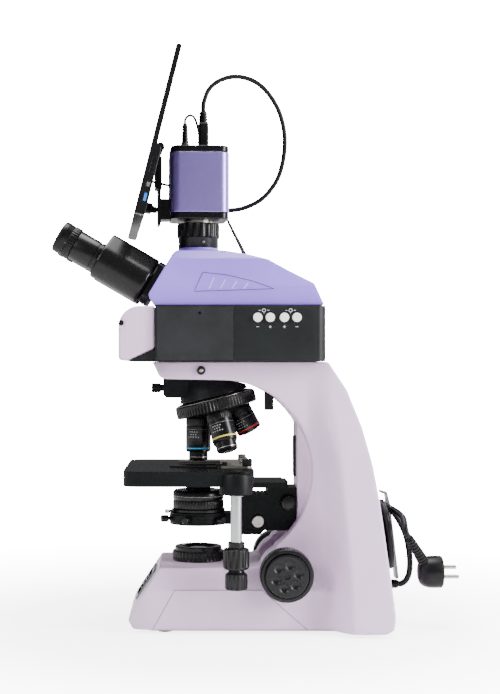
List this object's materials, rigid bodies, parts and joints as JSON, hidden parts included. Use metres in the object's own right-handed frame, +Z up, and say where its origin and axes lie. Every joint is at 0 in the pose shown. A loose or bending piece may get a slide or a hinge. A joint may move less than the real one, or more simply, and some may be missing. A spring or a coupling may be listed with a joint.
{
  "type": "trinocular microscope",
  "caption": "Trinocular compound microscope with fluorescence block, turret of objectives, mechanical stage, camera, tilting monitor and mains lead.",
  "frame": {"origin": "centre of the footprint on the table, cords left out", "axes": "+Z up, -X towards the operator, -Y the operator's right-hand side"},
  "size_m": [0.4696, 0.3108, 0.6481],
  "materials": {
    "pearl_paint": "satin powder coat",
    "lavender_paint": "satin paint",
    "black_texture": "fine textured powder coat",
    "black_paint": "satin",
    "black_plastic": "satin moulded",
    "black_rubber": "matt",
    "chrome": "polished",
    "steel": "brushed",
    "anodised_violet": "satin anodised",
    "white_plastic": "semi-gloss",
    "glass": "polished",
    "grey_paint": "satin"
  },
  "bodies": {
    "stand": {"stand_casting": "pearl_paint", "base_plate": "steel", "foot_front_right": "black_rubber", "foot_front_left": "black_rubber", "foot_rear_right": "black_rubber", "foot_rear_left": "black_rubber", "status_panel": "grey_paint", "field_lens": "glass", "cord_gland": "black_rubber", "cord_hanger": "grey_paint", "nosepiece_mount": "black_paint", "illuminator_housing": "black_texture", "illuminator_front_cap": "pearl_paint", "head_housing": "lavender_paint", "photo_port": "black_paint", "camera_bottom_cap": "black_plastic", "camera_shell": "anodised_violet", "camera_top_cap": "black_plastic", "camera_lead_plug": "black_rubber", "camera_video_plug": "black_rubber", "monitor_bracket": "black_paint", "video_cable": "black_rubber", "camera_lead": "black_rubber", "monitor_lead": "black_rubber", "mains_lead": "black_rubber", "mains_hank": "black_rubber", "mains_tail": "black_rubber", "mains_plug": "black_rubber"},
    "field_ring": {"field_iris_ring": "black_paint"},
    "coarse_knobs": {"coarse_knob_right": "black_plastic", "coarse_knob_left": "black_plastic"},
    "fine_knobs": {"fine_knob_right": "black_plastic", "fine_knob_left": "black_plastic"},
    "turret": {"nosepiece_turret": "black_paint", "objective_40x": "black_paint", "objective_10x": "black_paint", "objective_4x": "black_paint", "objective_100x": "black_paint"},
    "stage_carriage": {"stage_bracket": "black_paint"},
    "condenser_unit": {"condenser_carrier": "black_paint", "condenser": "black_paint"},
    "condenser_pinion": {"condenser_knob": "black_plastic"},
    "condenser_iris": {"condenser_iris_ring": "black_paint"},
    "stage_top": {"stage_plate": "black_texture", "coaxial_shaft": "chrome"},
    "upper_drive": {"upper_stage_knob": "black_plastic"},
    "lower_drive": {"lower_stage_knob": "black_plastic"},
    "holder": {"slide_holder": "steel"},
    "finger": {"spring_finger": "steel"},
    "button_1": {"reflected_light_minus_button": "white_plastic"},
    "button_2": {"reflected_light_plus_button": "white_plastic"},
    "button_3": {"transmitted_light_minus_button": "white_plastic"},
    "button_4": {"transmitted_light_plus_button": "white_plastic"},
    "right_prism": {"prism_arm_right": "black_paint"},
    "left_prism": {"prism_arm_left": "black_paint"},
    "right_eyepiece": {"eyepiece_right": "black_rubber"},
    "left_eyepiece": {"eyepiece_left": "black_rubber"},
    "monitor": {"monitor_case": "black_plastic", "monitor_screen": "glass", "monitor_video_plug": "black_rubber"}
  },
  "joints": [
    {"name": "focus_slide", "type": "slide", "parent": "stand", "child": "stage_carriage", "axis": [0, 0, 1], "range_m": [-0.016, 0.002]},
    {"name": "coarse_focus_turn", "type": "hinge", "parent": "stand", "child": "coarse_knobs", "pos_m": [0.06527, 0.00385, 0.0685], "axis": [0, -1, 0], "range_deg": [-154, 20]},
    {"name": "fine_focus_turn", "type": "hinge", "parent": "stand", "child": "fine_knobs", "pos_m": [0.06527, 0.00385, 0.0685], "axis": [0, -1, 0], "continuous": true},
    {"name": "turret_turn", "type": "hinge", "parent": "stand", "child": "turret", "pos_m": [-0.01247, 0.00385, 0.2579], "axis": [-0.2419, 0, 0.9703], "continuous": true},
    {"name": "condenser_slide", "type": "slide", "parent": "stage_carriage", "child": "condenser_unit", "axis": [0, 0, 1], "range_m": [-0.007, 0.004]},
    {"name": "condenser_knob_turn", "type": "hinge", "parent": "stage_carriage", "child": "condenser_pinion", "pos_m": [0.07078, -0.02615, 0.143], "axis": [0, -1, 0], "range_deg": [-105, 60]},
    {"name": "condenser_iris_turn", "type": "hinge", "parent": "condenser_unit", "child": "condenser_iris", "pos_m": [-0.03272, 0.00385, 0.132], "axis": [0, 0, 1], "range_deg": [-45, 45]},
    {"name": "stage_fore_aft", "type": "slide", "parent": "stage_carriage", "child": "stage_top", "axis": [1, 0, 0], "range_m": [-0.035, 0.01]},
    {"name": "lower_stage_knob_turn", "type": "hinge", "parent": "stage_top", "child": "lower_drive", "pos_m": [0.00907, -0.09415, 0.063], "axis": [0, 0, 1], "range_deg": [-300, 90]},
    {"name": "holder_slide", "type": "slide", "parent": "stage_top", "child": "holder", "axis": [0, 1, 0], "range_m": [-0.035, 0.035]},
    {"name": "upper_stage_knob_turn", "type": "hinge", "parent": "stage_top", "child": "upper_drive", "pos_m": [0.00907, -0.09415, 0.088], "axis": [0, 0, 1], "range_deg": [-300, 300]},
    {"name": "finger_turn", "type": "hinge", "parent": "holder", "child": "finger", "pos_m": [-0.00272, -0.04614, 0.186], "axis": [0, 0, 1], "range_deg": [0, 25], "stiffness_Nm_per_rad": 0.05, "springref_deg": -5.73},
    {"name": "field_iris_turn", "type": "hinge", "parent": "stand", "child": "field_ring", "pos_m": [-0.03272, 0.00385, 0.08], "axis": [0, 0, 1], "range_deg": [-60, 60]},
    {"name": "reflected_minus_press", "type": "slide", "parent": "stand", "child": "button_1", "axis": [0, 1, 0], "range_m": [0, 0.0012], "stiffness_N_per_m": 400, "springref_m": -0.0005},
    {"name": "reflected_plus_press", "type": "slide", "parent": "stand", "child": "button_2", "axis": [0, 1, 0], "range_m": [0, 0.0012], "stiffness_N_per_m": 400, "springref_m": -0.0005},
    {"name": "transmitted_minus_press", "type": "slide", "parent": "stand", "child": "button_3", "axis": [0, 1, 0], "range_m": [0, 0.0012], "stiffness_N_per_m": 400, "springref_m": -0.0005},
    {"name": "transmitted_plus_press", "type": "slide", "parent": "stand", "child": "button_4", "axis": [0, 1, 0], "range_m": [0, 0.0012], "stiffness_N_per_m": 400, "springref_m": -0.0005},
    {"name": "right_prism_swing", "type": "hinge", "parent": "stand", "child": "right_prism", "pos_m": [-0.18432, 0.00385, 0.4679], "axis": [-0.866, 0, 0.5], "range_deg": [-11, 29]},
    {"name": "left_prism_swing", "type": "hinge", "parent": "stand", "child": "left_prism", "pos_m": [-0.18432, 0.00385, 0.4679], "axis": [-0.866, 0, 0.5], "range_deg": [-29, 11]},
    {"name": "right_dioptre_turn", "type": "hinge", "parent": "right_prism", "child": "right_eyepiece", "pos_m": [-0.19353, -0.02814, 0.45197], "axis": [-0.866, 0, 0.5], "range_deg": [-150, 150]},
    {"name": "left_dioptre_turn", "type": "hinge", "parent": "left_prism", "child": "left_eyepiece", "pos_m": [-0.19353, 0.03585, 0.45197], "axis": [-0.866, 0, 0.5], "range_deg": [-150, 150]},
    {"name": "monitor_tilt", "type": "hinge", "parent": "stand", "child": "monitor", "pos_m": [-0.07861, 0.00059, 0.556], "axis": [-0.071, 0.9975, 0], "range_deg": [0, 10]}
  ],
  "couplings": [
    {"joint": "coarse_focus_turn", "follows": "focus_slide", "rad_per_m": 166.7},
    {"joint": "condenser_knob_turn", "follows": "condenser_slide", "rad_per_m": 250},
    {"joint": "lower_stage_knob_turn", "follows": "stage_fore_aft", "rad_per_m": 140},
    {"joint": "upper_stage_knob_turn", "follows": "holder_slide", "rad_per_m": 140},
    {"joint": "left_prism_swing", "follows": "right_prism_swing", "ratio": -1}
  ]
}
